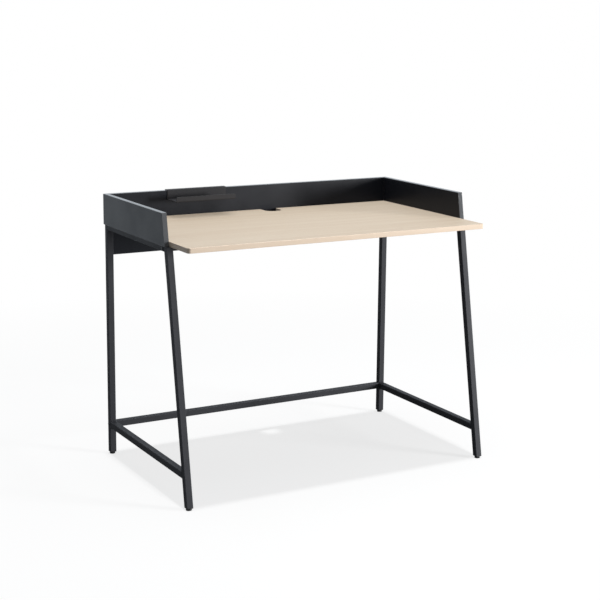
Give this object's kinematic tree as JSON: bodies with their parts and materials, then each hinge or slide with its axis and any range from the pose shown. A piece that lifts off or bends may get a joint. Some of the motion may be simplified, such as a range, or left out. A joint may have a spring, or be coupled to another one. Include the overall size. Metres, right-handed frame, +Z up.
{
  "type": "computer desk",
  "caption": "Computer desk: an oak top between leaning square-tube side frames, with black panels round the sides and back and a sheet-metal tray that slides along the back panel.",
  "frame": {"origin": "on the floor, in the middle of the desk's footprint", "axes": "+X to the right of someone sitting at the desk, +Y from the front to the back panel, +Z up"},
  "size_m": [1.03, 0.6029, 0.8323],
  "materials": {
    "frame_steel": "fine-textured black powder coat",
    "desktop_oak": "pale oak, matt lacquer",
    "black_board": "board faced in smooth black",
    "fittings": "zinc plated",
    "beech": "bare beech",
    "black_plastic": "moulded black plastic",
    "tray_steel": "black powder coat on bent sheet"
  },
  "bodies": {
    "desk": {"desktop": "desktop_oak", "back_panel": "black_board", "rear_stretcher": "frame_steel", "stretcher_end_nuts": "fittings", "stretcher_bolts": "frame_steel", "front_crossbar": "frame_steel", "crossbar_end_nuts": "fittings", "crossbar_bolts": "frame_steel", "tab_screws": "fittings", "desktop_cam_bolts": "fittings", "desktop_cam_discs": "fittings", "desktop_dowels": "beech", "back_panel_cam_bolts": "fittings", "back_panel_cam_discs": "fittings", "back_panel_dowels": "beech", "back_panel_screws": "fittings", "left_side_panel": "black_board", "left_lower_rail": "frame_steel", "left_top_rail": "frame_steel", "left_desktop_tabs": "frame_steel", "right_side_panel": "black_board", "right_lower_rail": "frame_steel", "right_top_rail": "frame_steel", "right_desktop_tabs": "frame_steel", "left_rear_leg": "frame_steel", "left_rear_leg_insert": "black_plastic", "left_front_leg": "frame_steel", "left_front_leg_insert": "black_plastic", "right_rear_leg": "frame_steel", "right_rear_leg_insert": "black_plastic", "right_front_leg": "frame_steel", "right_front_leg_insert": "black_plastic"},
    "tray": {"tray": "tray_steel"},
    "left_rear_foot": {"left_rear_foot_pad": "black_plastic", "left_rear_foot_stem": "fittings"},
    "left_front_foot": {"left_front_foot_pad": "black_plastic", "left_front_foot_stem": "fittings"},
    "right_rear_foot": {"right_rear_foot_pad": "black_plastic", "right_rear_foot_stem": "fittings"},
    "right_front_foot": {"right_front_foot_pad": "black_plastic", "right_front_foot_stem": "fittings"}
  },
  "joints": [
    {"name": "tray_slide", "type": "slide", "parent": "desk", "child": "tray", "axis": [1, 0, 0], "range_m": [-0.19, 0.6]},
    {"name": "left_rear_foot_screw", "type": "slide", "parent": "desk", "child": "left_rear_foot", "axis": [0, 0, 1], "range_m": [-0.01, 0.001]},
    {"name": "left_front_foot_screw", "type": "slide", "parent": "desk", "child": "left_front_foot", "axis": [0, 0, 1], "range_m": [-0.01, 0.001]},
    {"name": "right_rear_foot_screw", "type": "slide", "parent": "desk", "child": "right_rear_foot", "axis": [0, 0, 1], "range_m": [-0.01, 0.001]},
    {"name": "right_front_foot_screw", "type": "slide", "parent": "desk", "child": "right_front_foot", "axis": [0, 0, 1], "range_m": [-0.01, 0.001]}
  ]
}
